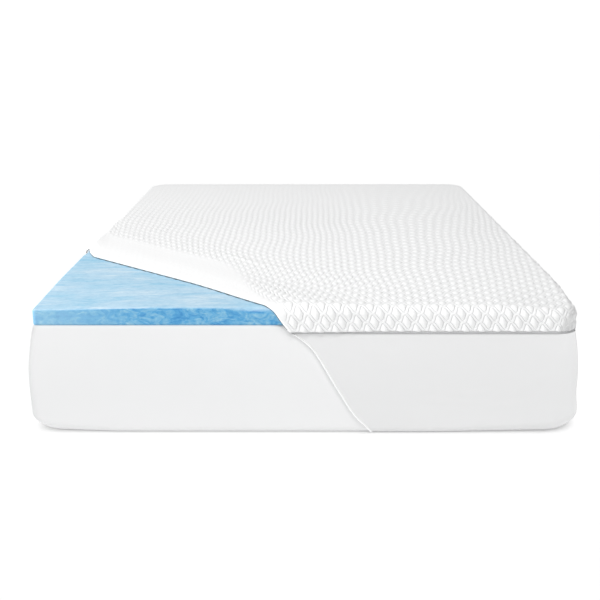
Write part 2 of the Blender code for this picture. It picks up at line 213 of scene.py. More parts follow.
# %% Weave the net
class Net:
    """A grid of points: rings (half_x, half_y, corners, height) from the rim inwards."""

    def __init__(self, rings, step_x, step_y):
        self.last = len(rings) - 1
        half_x, half_y, _, top = rings[self.last]
        xs = np.linspace(-half_x, half_x, 2 * round(half_x / step_x) + 1)
        ys = np.linspace(-half_y, half_y, 2 * round(half_y / step_y) + 1)
        self.wide, self.deep = len(xs) + 2 * self.last, len(ys) + 2 * self.last
        i, j = np.indices((self.wide, self.deep))
        from_right, from_back = self.wide - 1 - i, self.deep - 1 - j
        self.ring = np.minimum.reduce([i, j, from_right, from_back, 0 * i + self.last])
        grid = np.meshgrid(xs, ys, indexing="ij")
        self.spots = np.zeros((self.wide, self.deep, 3))
        self.facing = np.zeros((self.wide, self.deep, 2))
        middle = slice(self.last, self.wide - self.last), slice(self.last, self.deep - self.last)
        self.spots[middle] = np.dstack([*grid, np.full_like(grid[0], top)])
        for k, (size_x, size_y, corners, height) in enumerate(rings[:self.last]):
            for side in range(4):
                straight, half = (xs, size_x) if side % 2 == 0 else (ys, size_y)
                spare = self.last - k + 1
                before = np.linspace(-corner_middle(half, corners[side]), straight[0], spare)
                after = np.linspace(straight[-1], corner_middle(half, corners[(side + 1) % 4]), spare)
                along = np.concatenate([before[:-1], straight, after[1:]])
                spots, facing = walk_side(side, along, size_x, size_y, corners)
                cells = self.cells(side, k)
                self.spots[(*cells, slice(0, 2))] = spots
                self.spots[(*cells, 2)] = height
                self.facing[cells] = facing

    def cells(self, side, k):
        """Places in the grid of one side of ring k."""
        right, back = self.wide - 1 - k, self.deep - 1 - k
        across, deep = np.arange(k, right + 1), np.arange(k, back + 1)
        return ((across, k + 0 * across), (right + 0 * deep, deep),
                (across[::-1], back + 0 * across), (k + 0 * deep, deep[::-1]))[side]

    def points(self):
        return self.spots.reshape(-1, 3)

    def faces(self):
        i, j = np.indices((self.wide - 1, self.deep - 1))
        first = (i * self.deep + j).ravel()
        return np.stack([first, first + self.deep, first + self.deep + 1, first + 1], 1).tolist()

    def bottom(self):
        """One face that closes the net along its rim."""
        rim = [(i * self.deep + j)[:-1] for i, j in (self.cells(side, 0) for side in range(4))]
        return np.concatenate(rim)[::-1].tolist()


print("net helper ready")


# %% Finish a net and make it a piece
def inner_rings(half_x, half_y, corners, height, reach, count):
    """Rings over a flat top whose corners sharpen until the plain grid starts."""
    shares = np.linspace(0.0, 1.0, count + 1)[1:]
    return [(half_x - reach * t, half_y - reach * t, np.asarray(corners) * (1.0 - t), height)
            for t in shares]


def make_piece(name, points, faces, finish, node):
    """A smooth mesh that takes the place of one solid."""
    mesh = bpy.data.meshes.new(name)
    mesh.from_pydata(np.asarray(points).tolist(), [], faces)
    mesh.shade_smooth()
    mesh.materials.append(finish.material)
    piece = bpy.data.objects.new(name, mesh)
    bpy.context.scene.collection.objects.link(piece)
    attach(piece, "root")
    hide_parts(node)
    triangles = sum(len(face) - 2 for face in faces)
    print(f"{name}: {len(points)} points, {triangles} triangles")
    return piece


print("piece helper ready")

# %% [markdown]
# ## The mattress
# Only the front left end of the mattress is bare, so its looks are those of
# plain pale ticking pulled over soft sides.  The sides stand out most low down
# and draw in towards the top edge.  Both front corners are rounder where they
# meet the floor, and the tight skirt draws the right one in.  The profile is
# one curve, lofted by a net whose rim is the flat underside.

# %% Measure the mattress
MATTRESS_HEIGHT = 0.309
HALF_WIDTH, HALF_LENGTH = 0.7525, 1.0065       # at the top of the sides
SIDE_BULGE, BULGE_HEIGHT, BULGE_REACH = 0.019, 0.115, 0.186
SIDE_TOP, TOP_FILLET = 0.302, 0.007
BOTTOM_FILLET, SOFT_FILLET = 0.018, 0.036
SOFT_REACH_RIGHT, SOFT_REACH_LEFT = 0.48, 0.26
DRAWN_IN, DRAWN_REACH = 0.009, 0.35
DRAWN_FROM, DRAWN_RISE = 0.03, 0.09             # heights over which the drawing in sets in
CORNERS_TOP = np.array([0.007, 0.050, 0.085, 0.100])
CORNERS_BOTTOM = np.array([0.032, 0.074, 0.110, 0.120])
GROUND_ROUND = np.array([0.056, 0.036, 0.020, 0.010])      # the corners' added radius at the floor
GROUND_LEVEL = 0.055
STRAIGHT_LEVELS = np.linspace(0.041, 0.297, 33)
FLAT_REACH, FLAT_RINGS = 0.24, 10               # of the rings over the flat top
MATTRESS_STEP = 0.014
print("mattress at its widest:", round(2 * (HALF_WIDTH + SIDE_BULGE), 3), "m")


# %% Draw the mattress's profile
def side_out(z):
    """How far the side stands out at this height."""
    return SIDE_BULGE * (1.0 - (np.maximum(z - BULGE_HEIGHT, 0.0) / BULGE_REACH) ** 2)


def side_corners(out, z):
    drawn_in = out - side_out(min(z, SIDE_TOP))
    share = smooth(z / SIDE_TOP)
    low = GROUND_ROUND * smooth(1.0 - z / GROUND_LEVEL)
    return np.maximum(CORNERS_BOTTOM + (CORNERS_TOP - CORNERS_BOTTOM) * share + low + drawn_in, 0.0)


def side_profile(fillet, levels, first_angle=-math.pi / 2):
    """(out, height) pairs round the lower edge and up the side."""
    turned = np.linspace(first_angle, 0.0, 10)
    low = [(side_out(fillet) - fillet * (1.0 - math.cos(a)), fillet * (1.0 + math.sin(a)))
           for a in turned]
    return low + [(side_out(z), z) for z in levels]


def towards_soft_corner(points, reach, half_width=HALF_WIDTH):
    """From 0 to 1 at the front right corner, or at the left one for -HALF_WIDTH."""
    away = points[..., :2] - np.array([half_width, -HALF_LENGTH])
    return smooth(1.0 - np.linalg.norm(away, axis=-1) / reach)


def soften(points, softened):
    """Both front corners take the larger round along the floor."""
    right = towards_soft_corner(points, SOFT_REACH_RIGHT)
    left = towards_soft_corner(points, SOFT_REACH_LEFT, -HALF_WIDTH)
    return points + (softened - points) * np.maximum(right, left)[..., None]


def draw_in(points):
    """The tight skirt draws the front right corner in, over all but its lowest part."""
    share = smooth((points[..., 2] - DRAWN_FROM) / DRAWN_RISE)
    points[..., 0] -= DRAWN_IN * (share * towards_soft_corner(points, DRAWN_REACH))


def mattress_net(fillet):
    pairs = side_profile(fillet, STRAIGHT_LEVELS)
    for a in np.linspace(0.0, math.pi / 2, 6):
        drawn = TOP_FILLET * (1.0 - math.cos(a))
        pairs.append((side_out(SIDE_TOP) - drawn, SIDE_TOP + TOP_FILLET * math.sin(a)))
    rings = [(HALF_WIDTH + out, HALF_LENGTH + out, side_corners(out, z), z) for out, z in pairs]
    rings += inner_rings(*rings[-1][:3], MATTRESS_HEIGHT, FLAT_REACH, FLAT_RINGS)
    return Net(rings, MATTRESS_STEP, MATTRESS_STEP)


print("the side stands out", side_out(BULGE_HEIGHT), "m, and", round(side_out(SIDE_TOP), 5), "m at the top")

# %% [markdown]
# The ticking is a close knit.  Its wales are far finer than a pixel from the
# camera, but they still soften the light, so they are a low bump.  A real
# mattress side is never quite flat: a long, shallow unevenness of under a
# millimetre goes into the points themselves, always inwards, because a skirt
# lies close over it.

# %% Knit a plain cloth
def knit_height(finish, place, pitch):
    """Loops of a fine knit, in parts of a loop's height, from a place in metres."""
    axes = finish.add("ShaderNodeSeparateXYZ", {0: place})
    turns = 2.0 * math.pi / pitch
    wales = finish.sum("SINE", finish.sum("MULTIPLY", axes.outputs["X"], turns))
    courses = finish.sum("SINE", finish.sum("MULTIPLY", axes.outputs["Y"], turns * 0.7))
    return finish.sum("MULTIPLY", wales, courses)


def plain_knit(name, shade, tint, roughness, loop_mm):
    finish = Finish(name, roughness, sheen=0.15)
    spot = finish.place()
    turned = finish.add("ShaderNodeVectorRotate",
                        {"Vector": spot, "Axis": (1.0, 0.0, 0.0), "Angle": math.pi / 2})
    loops = knit_height(finish, turned.outputs[0], PLAIN_PITCH)
    cloud = finish.noise(spot, 3.0, 4.0)
    shades = finish.ramp(cloud, (0.3, grey(shade * CLOUDY, tint)[:3]), (0.7, grey(shade, tint)[:3]))
    finish.colour(shades)
    fuzz = finish.noise(spot, 900.0, 2.0)
    finish.relief(finish.sum("MULTIPLY", finish.sum("ADD", loops, fuzz), loop_mm))
    return finish


PLAIN_PITCH = 0.0021            # from wale to wale
CLOUDY = 0.985                  # shade of the darker patches
ticking = plain_knit("ticking", 0.86, 0.006, 0.85, 0.10)
print("ticking has", len(ticking.nodes), "nodes")

# %% Cover the mattress in ticking
SIDE_UNEVEN, UNEVEN_FROM = 0.0009, 0.05


def unevenness(spots):
    """Long shallow waves in the sides, which fade out towards the floor."""
    x, y, z = np.moveaxis(spots, -1, 0)
    sway = np.sin(5.1 * x + 2.0 * z) * np.sin(4.3 * y + 0.7) * np.sin(17.0 * z + 3.0 * x)
    return SIDE_UNEVEN * (0.5 + 0.5 * sway) * smooth(z / UNEVEN_FROM)


body = mattress_net(BOTTOM_FILLET)
body.spots = soften(body.spots, mattress_net(SOFT_FILLET).spots)
body.spots[..., :2] -= body.facing * unevenness(body.spots)[..., None]
draw_in(body.spots)
mattress = make_piece("mattress_body", body.points(), body.faces() + [body.bottom()],
                      ticking, "mattress")

# %% [markdown]
# ## The gel-foam slab
# The slab is cut from a block of blue memory foam, so its bare edges are almost
# sharp, and they round off only where the tight cover draws them in.  The
# bare corner sags a few millimetres.

# %% Cut the slab
FOAM_BOTTOM = MATTRESS_HEIGHT + 0.0003
FOAM_TOP = FOAM_BOTTOM + 0.051
FOAM_HALF_WIDTH, FOAM_HALF_LENGTH = 0.7495, 1.0010
FOAM_CORNERS = np.array([0.008, 0.053, 0.076, 0.091])
FOAM_LOWER_EDGE, BARE_EDGE, COVERED_EDGE = 0.003, 0.005, 0.018
FOAM_SAG, FOAM_SAG_REACH = 0.006, 0.34
BARE_FRONT_END, BARE_LEFT_END = (-0.25, -0.15), (-0.42, -0.34)
BARE_FROM_FRONT, BARE_FROM_LEFT = -0.9, -0.7       # the bare edges lie past these places
PRESSED_DOWN, PRESSED_REACH = 0.011, 0.24
LOWER_RINGS, SIDE_RINGS, EDGE_RINGS, TOP_RINGS = 4, 5, 9, 17
FOAM_TOP_REACH, FOAM_TOP_CORNERS = 0.12, 0.6       # of the rings over the flat top
EDGE_INSET = 0.03                                  # first ring past the rounded edge
FOAM_STEP = 0.012


def press_down(points, base, top):
    """The cover presses the front right corner down, most at the top."""
    share = np.minimum((points[..., 2] - base) / (top - base), 1.0)
    points[..., 2] -= PRESSED_DOWN * share * towards_soft_corner(points, PRESSED_REACH)


def foam_edge(x, y):
    """Radius of the slab's upper edge."""
    front = smooth((x - BARE_FRONT_END[0]) / (BARE_FRONT_END[1] - BARE_FRONT_END[0]))
    left = smooth((y - BARE_LEFT_END[0]) / (BARE_LEFT_END[1] - BARE_LEFT_END[0]))
    covered = np.where(y < BARE_FROM_FRONT, front, np.where(x < BARE_FROM_LEFT, left, 1.0))
    return BARE_EDGE + (COVERED_EDGE - BARE_EDGE) * covered


def foam_net():
    """Rings up the cut side, round the edge and over the top, and then their true places."""
    size = FOAM_HALF_WIDTH, FOAM_HALF_LENGTH
    rings = [(*size, FOAM_CORNERS, 0.0)] * (LOWER_RINGS + SIDE_RINGS + EDGE_RINGS)
    rings += inner_rings(size[0] - EDGE_INSET, size[1] - EDGE_INSET, FOAM_CORNERS * FOAM_TOP_CORNERS,
                         0.0, FOAM_TOP_REACH, TOP_RINGS)
    net = Net(rings, FOAM_STEP, FOAM_STEP)
    x, y = net.spots[..., 0], net.spots[..., 1]
    corner = np.hypot(x + FOAM_HALF_WIDTH, y + FOAM_HALF_LENGTH)
    top = FOAM_TOP - FOAM_SAG * smooth(1.0 - corner / FOAM_SAG_REACH)
    edge = foam_edge(x, y)
    inset = np.zeros_like(x)
    height = top.copy()
    for k, a in enumerate(np.linspace(0.0, math.pi / 2, LOWER_RINGS)):
        on = net.ring == k
        inset[on] = FOAM_LOWER_EDGE * (1.0 - math.sin(a))
        height[on] = FOAM_BOTTOM + FOAM_LOWER_EDGE * (1.0 - math.cos(a))
    side_start = FOAM_BOTTOM + FOAM_LOWER_EDGE
    for k, t in enumerate(np.linspace(0.0, 1.0, SIDE_RINGS + 2)[1:-1], start=LOWER_RINGS):
        on = net.ring == k
        height[on] = (side_start + (top - edge - side_start) * t)[on]
    for k, a in enumerate(np.linspace(0.0, math.pi / 2, EDGE_RINGS), start=LOWER_RINGS + SIDE_RINGS):
        on = net.ring == k
        inset[on] = (edge * (1.0 - math.cos(a)))[on]
        height[on] = (top - edge * (1.0 - math.sin(a)))[on]
    net.spots[..., :2] -= net.facing * inset[..., None]
    net.spots[..., 2] = height
    return net


slab = foam_net()
press_down(slab.spots, FOAM_BOTTOM, FOAM_TOP)
draw_in(slab.spots)
print("slab:", round(slab.spots[..., 2].max() - slab.spots[..., 2].min(), 4), "m thick")

# %% [markdown]
# Gel is swirled into the foam while it is wet, so its blue is marbled.  The
# faces that point up are coloured a pale blue with long faint streaks from side
# to side, and the cut sides a deeper blue, paler towards the left end.  Noise
# that is stretched sideways gives both, and the way a face points picks between
# them.  A fine grain and open pores go over it all.

# %% Mix the gel foam
def gel_foam():
    finish = Finish("marbled_gel_foam", 0.75)
    streaks = finish.noise(finish.place((2.4, 8.0, 8.0)), 2.7, 9.0, 0.70, 0.6)
    swirls = finish.noise(finish.place((3.5, 3.5, 7.0)), 7.0, 9.0, 0.74, 0.9)
    upward_blue = finish.ramp(streaks, (0.34, (0.27, 0.52, 0.69)), (0.46, (0.37, 0.58, 0.725)),
                       (0.56, (0.45, 0.62, 0.745)), (0.68, (0.58, 0.71, 0.79)))
    inside = finish.ramp(swirls, (0.35, (0.05, 0.25, 0.55)), (0.46, (0.10, 0.36, 0.63)),
                         (0.54, (0.19, 0.45, 0.66)), (0.66, (0.34, 0.57, 0.70)))
    x = finish.add("ShaderNodeSeparateXYZ", {0: finish.place()}).outputs["X"]
    ragged = finish.sum("ADD", x, finish.sum("MULTIPLY", swirls, 0.5))
    inside = finish.mix(finish.ease(ragged, -0.20, -0.50, 0.0, 0.45), inside, (0.38, 0.62, 0.76, 1.0))
    facing = finish.add("ShaderNodeNewGeometry").outputs["Normal"]
    up = finish.add("ShaderNodeSeparateXYZ", {0: facing}).outputs["Z"]
    # Faces that point up take the paler blue, and faces that point sideways the deeper one.
    gel = finish.mix(finish.ease(up, 0.15, 0.95), inside, upward_blue)
    grain = finish.noise(finish.place((1.0, 2.0, 2.0)), 55.0, 6.0, 0.75)
    grain = finish.ramp(grain, (0.35, (0.84, 0.90, 0.94)), (0.50, (1.0, 1.0, 1.0)),
                        (0.65, (1.10, 1.06, 1.04)))
    finish.colour(finish.mix(1.0, gel, grain, "MULTIPLY"))
    cells = finish.add("ShaderNodeTexVoronoi", {"Vector": finish.place(), "Scale": 420.0})
    pores = finish.sum("MULTIPLY", cells.outputs["Distance"], 0.25)
    rough = finish.sum("MULTIPLY", finish.noise(finish.place(), 60.0, 5.0, 0.7), 0.5)
    finish.relief(finish.sum("ADD", pores, rough))
    return finish


foam = make_piece("foam_slab_cut", slab.points(), slab.faces() + [slab.bottom()],
                  gel_foam(), "foam_slab")

# %% [markdown]
# ## The quilted cover
# The cover is a padded knit, quilted all over in rows of slender leaf-shaped
# puffs.  A stitched seam runs round every puff, and the seams of neighbours lie
# side by side with a narrow strip of flat cloth between.  That is one repeating
# height, so it is worked out as a formula on the flat cloth and not drawn.  A
# gentle wave in the two coordinates bends the sides of the diamonds.

# %% The repeat of the quilting
PITCH = 0.0442           # from puff to puff across
ROW = 0.0245             # from row to row
LEAN = 0.0288            # how far right the next row down starts
OGEE = 0.060             # bends the sides of the diamonds
LEAF = (0.282, 0.264)    # half width and half height of a puff, in repeats
LEAF_POINT = 1.10        # near 1 the puff is a pointed diamond, at 2 it is an oval
LEAF_CROWN = 1.8         # higher numbers make its top flatter
PUFF, UNEVEN = 0.0026, 0.12                   # height of a puff, and by what share puffs differ
PATTERN_START = np.array([0.0088, 0.0082])    # slides the rows to where they lie in the picture


def repeat_place(cloth):
    """Place in repeats of the pattern, counted across and down the cloth."""
    down = -cloth[:, 1] / (2.0 * ROW)
    across = (cloth[:, 0] - (2.0 * LEAN - PITCH) * down) / PITCH
    turn_x, turn_y = 2.0 * math.pi * across, 2.0 * math.pi * down
    return across + OGEE * np.sin(turn_x) * np.cos(turn_y), down - OGEE * np.cos(turn_x) * np.sin(turn_y)


def quilt_height(cloth):
    """Height of the padding over its seams at places on the flat cloth."""
    across, down = repeat_place(cloth)
    cell_x, cell_y = np.round(across), np.round(down)
    off_x, off_y = np.abs(across - cell_x), np.abs(down - cell_y)
    between = off_x + off_y > 0.5             # in one of the puffs between four others
    off_x, off_y = np.where(between, 0.5 - off_x, off_x), np.where(between, 0.5 - off_y, off_y)
    reach = (off_x / LEAF[0]) ** LEAF_POINT + (off_y / LEAF[1]) ** LEAF_POINT
    uneven = UNEVEN * np.sin(7.3 * cell_x + 3.1 * between) * np.cos(4.7 * cell_y + 1.9 * between)
    return PUFF * (1.0 + uneven) * np.clip(1.0 - reach ** LEAF_CROWN, 0.0, 1.0)


print("puffs across the bed:", round(2 * HALF_WIDTH / PITCH))
print("rows along the bed:", round(2 * HALF_LENGTH / ROW))

# %% [markdown]
# The cover starts as a net over the slab: down the border, round the soft edge
# and over the top.  Where it is peeled, a leaning plane cuts the net off, and
# the cloth turns round that line and back under itself.  A bisect makes a
# clean line of new points there.

# %% Measure the cover
COVER_HALF_WIDTH, COVER_HALF_LENGTH = 0.7550, 1.0075      # inner face
COVER_CORNERS = np.array([0.075, 0.057, 0.080, 0.095])
COVER_EDGE, THICKNESS = 0.021, 0.005
COVER_TOP = FOAM_TOP + 0.0005
EDGE_START = COVER_TOP - COVER_EDGE
HEM_HEIGHT = 0.2945
FOLD_POINT = np.array([-0.093, -1.0125, 0.366])
FOLD_NORMAL = np.array([0.566, 0.651, 0.385]) / np.linalg.norm([0.566, 0.651, 0.385])
FOLD_GAP, FOLD_SLANT = 0.0015, 0.913
FOLD_UNDER, FOLD_SETTLE = 0.070, 0.150
FOLD_RADIUS = THICKNESS + FOLD_GAP / 2
NOSE_LEVEL, UNDER_LEVEL = FOLD_RADIUS * FOLD_SLANT, FOLD_UNDER * FOLD_SLANT
NOSE_STEPS = 8
TOP_REACH, TOP_STEPS = 0.194, 32                          # of the rings over the flat top
COVER_STEPS = 0.0054, 0.0074                              # squares of the net on top
print("border:", round(COVER_TOP - HEM_HEIGHT, 4), "m high, turned under by", FOLD_UNDER, "m at the fold")


# %% Weave the cover and cut it at the fold
def cover_rings():
    size = COVER_HALF_WIDTH, COVER_HALF_LENGTH
    rings = [(*size, COVER_CORNERS, z) for z in np.linspace(HEM_HEIGHT, EDGE_START, 11)[:-1]]
    for a in np.linspace(0.0, math.pi / 2, 11):
        depth = COVER_EDGE * (1.0 - math.cos(a))
        rings.append((size[0] - depth, size[1] - depth, COVER_CORNERS - depth,
                      EDGE_START + COVER_EDGE * math.sin(a)))
    return rings + inner_rings(*rings[-1][:3], COVER_TOP, TOP_REACH, TOP_STEPS)


def fold_level(points):
    return (points - FOLD_POINT) @ FOLD_NORMAL


def cut_net(net):
    """Cut away the net beyond the fold, and mark how far the cloth is turned under."""
    mesh = bpy.data.meshes.new("cover_net")
    mesh.from_pydata(net.points().tolist(), [], net.faces())
    bm = bmesh.new()
    bm.from_mesh(mesh)
    bpy.data.meshes.remove(mesh)
    for level, cut_away in ((NOSE_LEVEL, True), (UNDER_LEVEL, False)):
        everything = bm.verts[:] + bm.edges[:] + bm.faces[:]
        bmesh.ops.bisect_plane(bm, geom=everything, dist=1e-6, plane_no=FOLD_NORMAL,
                               plane_co=FOLD_POINT + FOLD_NORMAL * level, clear_inner=cut_away)
    bm.verts.index_update()
    base = np.array([v.co for v in bm.verts])
    faces = [[v.index for v in f.verts] for f in bm.faces]
    rim = [(loop.vert.index, loop.link_loop_next.vert.index)
           for edge in bm.edges if edge.is_boundary for loop in edge.link_loops]
    bm.free()
    print("cover net:", len(base), "points,", len(rim), "rim edges")
    return base, faces, rim


base, base_faces, rim = cut_net(Net(cover_rings(), *COVER_STEPS))

# %% [markdown]
# Two things are worked out for each point of the base: which way is out, and
# where it lies on the cloth when that is spread flat.  The quilting is drawn on
# the flat cloth, so it runs over the edge and down the border without a break.
# The peeled corner has pulled the rows askew near the fold, and a few long
# waves keep the rest from looking ruled.

# %% Spread the cover flat
def cover_frame(base):
    """Way out of the cover, and the place on the cloth spread flat."""
    right, back = base[:, 0] > 0, base[:, 1] > 0
    corners = np.where(back, np.where(right, COVER_CORNERS[2], COVER_CORNERS[3]),
                       np.where(right, COVER_CORNERS[1], COVER_CORNERS[0]))
    over_x = np.maximum(np.abs(base[:, 0]) - (COVER_HALF_WIDTH - corners), 0.0)
    over_y = np.maximum(np.abs(base[:, 1]) - (COVER_HALF_LENGTH - corners), 0.0)
    reach = np.hypot(over_x, over_y)
    outward = np.stack([np.sign(base[:, 0]) * over_x, np.sign(base[:, 1]) * over_y], 1)
    outward /= np.maximum(reach, 1e-9)[:, None]
    across = np.maximum(reach - (corners - COVER_EDGE), 0.0)
    tilt = np.arctan2(across, np.maximum(base[:, 2] - EDGE_START, 0.0))
    normal = np.column_stack([outward * np.sin(tilt)[:, None], np.cos(tilt)])
    run = (COVER_EDGE + THICKNESS) * tilt + np.maximum(EDGE_START - base[:, 2], 0.0)
    cloth = base[:, :2] + outward * (run - across)[:, None]
    return normal, cloth


def fold_frame(base, normal):
    """Distance from the fold along the cloth, and the way over the fold."""
    along = FOLD_NORMAL - normal * (normal @ FOLD_NORMAL)[:, None]
    distance = fold_level(base) / np.linalg.norm(along, axis=1)
    along[:, 2] *= smooth((base[:, 2] - HEM_HEIGHT) / 0.03)
    return distance, -along / np.linalg.norm(along, axis=1)[:, None]


# %% Pull the rows askew
ASKEW, ASKEW_FROM, ASKEW_REACH = 0.09, 0.02, 0.42    # how far the rows are pulled aside at the fold
RULED = 1.0, 0.30                      # in front the rows run true, and waver further back
UPRIGHT_RIGHT = 0.15                   # the rows turn this much more at the right
ACROSS_FOLD = FOLD_NORMAL[:2] / np.linalg.norm(FOLD_NORMAL[:2])
ALONG_FOLD = np.array([-ACROSS_FOLD[1], ACROSS_FOLD[0]])


def pull_askew(cloth, distance):
    """Where the quilting was drawn on the cloth before it was pulled out of line."""
    x, y = cloth.T
    calm = smooth((y + RULED[0]) / RULED[1])
    waves = 0.003 * np.sin(9.0 * y + 2.2 * x) + 0.002 * np.sin(17.0 * y - 6.0 * x + 1.0)
    aside = ASKEW * (1.0 - smooth((distance - ASKEW_FROM) / ASKEW_REACH))
    upright = (2.0 * LEAN - PITCH) / (2.0 * ROW) + UPRIGHT_RIGHT * smooth((x - 0.1) / 0.6)
    sag = 0.003 * np.sin(7.0 * x + 1.3) + 0.002 * np.sin(15.0 * x + 5.0 * y)
    turned = upright * np.maximum(y + RULED[0], 0.0)
    return np.column_stack([x - turned + (waves - aside) * calm, y + sag * calm]) - PATTERN_START


fold_turn = math.degrees(math.atan2(ALONG_FOLD[1], -ALONG_FOLD[0]))
print("the fold runs", round(fold_turn, 1), "degrees off the front")

# %% [markdown]
# Beside the fold the cloth is stretched smooth over the layer beneath, widest
# at the left, and the puffs rise again further in.  One low crease runs beside
# that smooth band.  Near the left edge the fold swings back.  Each of these is
# a smooth share between 0 and 1 times a height or a distance.

# %% Stretch the cloth beside the fold
SMOOTH_BAND = (0.000, 0.210, 0.46)      # width in front, added towards the left, over this length
SMOOTHED = 0.10                         # what is left of the quilting there
FADE_BORDER, FADE_TOP = 0.012, 0.038    # the quilting fades in over this distance, and more on top
TAUT_TOP, TAUT_BACK = 0.05, 0.72        # how much flatter the puffs are on top, and at the back
CREASE = (0.31, 0.40, 0.0024)           # across the fold, along it, and height
CREASE_WIDTH, CREASE_LENGTH, CREASE_TURN = 0.012, 0.09, 0.04
CREASE_FAINT = 0.3                      # its height towards the ends, as a share
SWING, SIDE_SWING, FOLD_BACK = 0.050, 0.045, 0.026
SWING_END, SWING_FADE = 0.40, 0.60      # the swing has faded out at this y, over this length


def fullness_at(base, distance):
    """How full the quilting stands: nearly flat beside the fold."""
    along = (base[:, :2] - FOLD_POINT[:2]) @ ALONG_FOLD
    on_top = smooth((base[:, 2] - HEM_HEIGHT - 0.01) / 0.055)
    width = (SMOOTH_BAND[0] + SMOOTH_BAND[1] * smooth(along / SMOOTH_BAND[2])) * on_top
    taut = on_top * (TAUT_TOP + TAUT_BACK * smooth(base[:, 1] / 0.9))
    risen = smooth((distance - width) / (FADE_BORDER + FADE_TOP * on_top))
    return (SMOOTHED + (1.0 - SMOOTHED) * risen) * (1.0 - taut)


def crease_height(base, distance):
    along = (base[:, :2] - FOLD_POINT[:2]) @ ALONG_FOLD
    across = (distance - CREASE[0] + CREASE_TURN * (along - CREASE[1])) / CREASE_WIDTH
    strength = np.exp(-((along - CREASE[1]) / CREASE_LENGTH) ** 2)
    strength = CREASE_FAINT + (1.0 - CREASE_FAINT) * strength
    return CREASE[2] * strength * np.exp(-across ** 2) * smooth((along + 0.02) / 0.1)


def swing_back(points):
    """The fold lies further back left of the middle, and most where it turns down the side."""
    x, y, z = points.T                  # y follows the points as they move
    over_edge = smooth((z - 0.300) / 0.030)
    near = smooth((y + 0.75) / 0.30) * smooth((SWING_END - y) / SWING_FADE)
    down_side = smooth((-0.730 - x) / 0.028) * over_edge
    points[:, 1] += (SWING * smooth((-0.700 - x) / 0.05) + SIDE_SWING * down_side) * near
    high = over_edge * smooth((SWING_END - y) / SWING_FADE)
    points[:, 1] += FOLD_BACK * smooth((-0.10 - x) / 0.25) * high


full = fullness_at(base, fold_level(base))
print("the quilting keeps", round(full.min(), 3), "to", round(full.max(), 3), "of its height")

# %% [markdown]
# The cover is laid in layers that share their points: the top layer, the nose
# of the fold, the layer that is turned under, and a lip along the hem.  A small
# class keeps the lists and remembers where each point of the base went.

# %% Keep the layers of the cover
class Cover:
    """The points and faces of all layers, and where they lie on the flat cloth."""

    def __init__(self, base, rim):
        self.base = base
        self.level = fold_level(base)
        self.normal, self.cloth = cover_frame(base)
        self.distance, self.out = fold_frame(base, self.normal)
        self.nose = sorted({i for edge in rim for i in edge if self.near(i, NOSE_LEVEL)})
        self.points, self.places, self.full, self.faces = [], [], [], []
        self.at = {}

    def near(self, i, level):
        return abs(self.level[i] - level) < 3e-5

    def under(self, face):
        return all(self.level[i] < UNDER_LEVEL + 1e-5 for i in face)

    def put(self, layer, ids, points, places, full):
        start = len(self.points)
        self.at[layer] = {i: start + n for n, i in enumerate(ids)}
        self.points += list(points)
        self.places += list(places)
        self.full += list(full)

    def offset(self, ids, height):
        return self.base[ids] + self.normal[ids] * np.broadcast_to(height, len(ids))[:, None]


cover = Cover(base, rim)
print("the nose has", len(cover.nose), "points along the fold")


# %% Lay the top and turn the nose
SCALLOP, SCALLOP_PITCH = 0.0009, 0.038      # the seams pull the nose in this much, this often
QUILT_SUNK = 0.4                            # share of a puff that lies below the cloth's face
NOSE_CALM = 0.014                           # the quilting starts this far from the nose


def lay_top(cover):
    ids = np.arange(len(cover.base))
    places = pull_askew(cover.cloth, cover.distance)
    full = fullness_at(cover.base, cover.distance)
    calm_nose = smooth((cover.distance - FOLD_RADIUS) / NOSE_CALM)
    lift = (THICKNESS + FOLD_GAP) * (1.0 - smooth((cover.distance - FOLD_UNDER) / FOLD_SETTLE))
    quilt = (quilt_height(places) - QUILT_SUNK * PUFF) * full * calm_nose
    height = lift + THICKNESS + quilt + crease_height(cover.base, cover.distance)
    cover.put("top", ids, cover.offset(ids, height), places, full * calm_nose)
    cover.drawn = places
    cover.inside = cover.offset(ids, lift)


def turn_nose(cover):
    """Arcs from the top layer round to the layer beneath."""
    ids = np.array(cover.nose)
    middle = cover.offset(ids, FOLD_RADIUS)
    along = (cover.base[ids, :2] - FOLD_POINT[:2]) @ ALONG_FOLD
    scallop = SCALLOP * np.abs(np.sin(math.pi * along / SCALLOP_PITCH))
    cover.at["nose", 0] = cover.at["top"]
    for step in range(1, NOSE_STEPS + 1):
        a = math.pi / 2 - math.pi * step / NOSE_STEPS
        radius = FOLD_RADIUS + scallop * math.cos(a)
        turn = cover.normal[ids] * math.sin(a) + cover.out[ids] * math.cos(a)
        places = cover.drawn[ids] + cover.out[ids, :2] * FOLD_RADIUS * (math.pi / 2 - a)
        cover.put(("nose", step), ids, middle + turn * radius[:, None], places, 0.0 * radius)


lay_top(cover)
cover.faces += base_faces
turn_nose(cover)
print("with the nose:", len(cover.points), "points")


# %% Turn the cloth under and give the hem a lip
def lay_under(cover, faces):
    ids = np.array(sorted({i for face in faces for i in face} - set(cover.nose)))
    past = FOLD_RADIUS * math.pi + 2.0 * (cover.distance[ids] - FOLD_RADIUS)
    places = cover.drawn[ids] + cover.out[ids, :2] * past[:, None]
    cover.put("under", ids, cover.base[ids], places, 0.0 * past)
    cover.at["under"].update(cover.at["nose", NOSE_STEPS])
    cover.faces += [[cover.at["under"][i] for i in face[::-1]] for face in faces]


def join_nose(cover, rim):
    for a, b in rim:
        if cover.near(a, NOSE_LEVEL) and cover.near(b, NOSE_LEVEL):
            for step in range(NOSE_STEPS):
                upper, lower = cover.at["nose", step], cover.at["nose", step + 1]
                cover.faces.append([upper[b], upper[a], lower[a], lower[b]])


